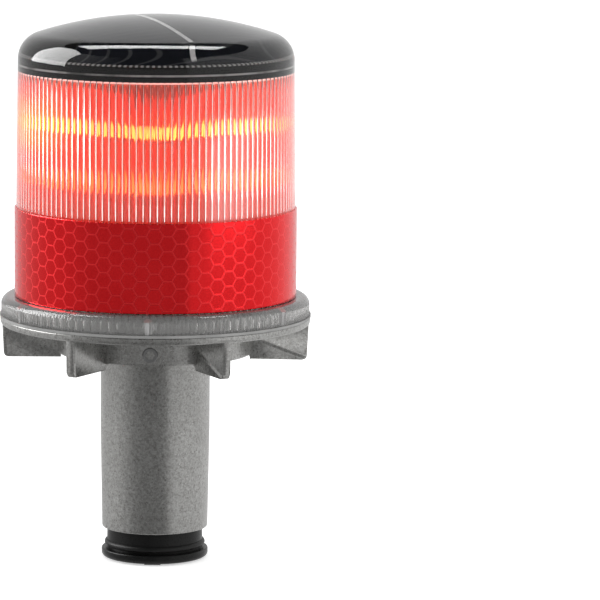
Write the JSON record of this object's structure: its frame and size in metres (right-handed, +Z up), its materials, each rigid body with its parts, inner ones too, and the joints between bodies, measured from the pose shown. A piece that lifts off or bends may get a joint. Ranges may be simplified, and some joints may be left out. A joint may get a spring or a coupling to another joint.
{
  "type": "barricade warning light",
  "caption": "Solar barricade warning light: clear dome lens over a red fluted drum and reflective band, on a cast base whose stem holds the battery and plugs into a tube.",
  "frame": {"origin": "on the axis, level with the pads under the battery cap, at the bottom of the stem", "axes": "+Z up the stem to the dome, -Y through the lock screw, +X through one of the six lugs"},
  "size_m": [0.1158, 0.1158, 0.2037],
  "materials": {
    "cast_base": "shot-blasted, grainy",
    "gasket_rubber": "matt",
    "clear_plastic": "clear, polished",
    "reflective_sheeting": "glossy honeycomb",
    "screw_steel": "zinc plated",
    "black_plastic": "satin",
    "panel_board": "satin",
    "silicon": "polished",
    "tinned_ribbon": "satin",
    "clear_resin": "clear",
    "red_plastic": "translucent",
    "circuit_board": "satin",
    "chip_plastic": "matt",
    "coil_core": "matt",
    "capacitor_sleeve": "gloss",
    "white_plastic": "satin",
    "led_amber": "clear amber",
    "cell_wrap": "printed wrap",
    "cell_steel": "satin",
    "insulator": "matt",
    "contact_brass": "satin",
    "cap_plastic": "satin",
    "seal_rubber": "matt",
    "spring_steel": "bright",
    "switch_plastic": "matt",
    "lever_plastic": "satin",
    "screw_black": "oxidised",
    "lead_red": "satin",
    "lead_black": "satin"
  },
  "bodies": {
    "light": {"base_casting": "cast_base", "lens_gasket": "gasket_rubber", "clear_lens": "clear_plastic", "reflective_band": "reflective_sheeting", "base_screws": "screw_steel", "solar_tray": "black_plastic", "solar_panel": "panel_board", "solar_cell": "silicon", "cell_busbar": "tinned_ribbon", "dome_potting": "clear_resin", "colour_drum": "red_plastic", "control_board": "circuit_board", "board_screws": "screw_steel", "driver_chip": "chip_plastic", "charge_coil": "coil_core", "smoothing_capacitor": "capacitor_sleeve", "led_column": "white_plastic", "lower_led_board": "circuit_board", "lower_leds": "led_amber", "upper_led_board": "circuit_board", "upper_leds": "led_amber", "contact_holder": "insulator", "top_contact": "contact_brass", "mode_switch": "switch_plastic", "positive_lead": "lead_red", "negative_lead": "lead_black", "solar_leads": "lead_red"},
    "cell": {"battery_cell": "cell_wrap", "cell_button": "cell_steel"},
    "cap": {"battery_cap": "cap_plastic", "cap_feet": "seal_rubber", "cap_seal": "seal_rubber", "cap_contact": "contact_brass", "cap_spring": "spring_steel"},
    "switch": {"switch_lever": "lever_plastic"},
    "lock": {"lock_screw": "screw_black"}
  },
  "joints": [
    {"name": "cell_drop", "type": "slide", "parent": "light", "child": "cell", "axis": [0, 0, -1], "range_m": [0, 0.009]},
    {"name": "cap_unscrew", "type": "hinge", "parent": "cell", "child": "cap", "pos_m": [0, 0, 0], "axis": [0, 0, -1], "range_deg": [0, 1080]},
    {"name": "mode_slide", "type": "slide", "parent": "light", "child": "switch", "axis": [1, 0, 0], "range_m": [-0.002, 0.002]},
    {"name": "lock_drive", "type": "slide", "parent": "light", "child": "lock", "axis": [0, 1, 0], "range_m": [0, 0.0045]}
  ],
  "couplings": [
    {"joint": "cap_unscrew", "follows": "cell_drop", "rad_per_m": 2094.4}
  ]
}
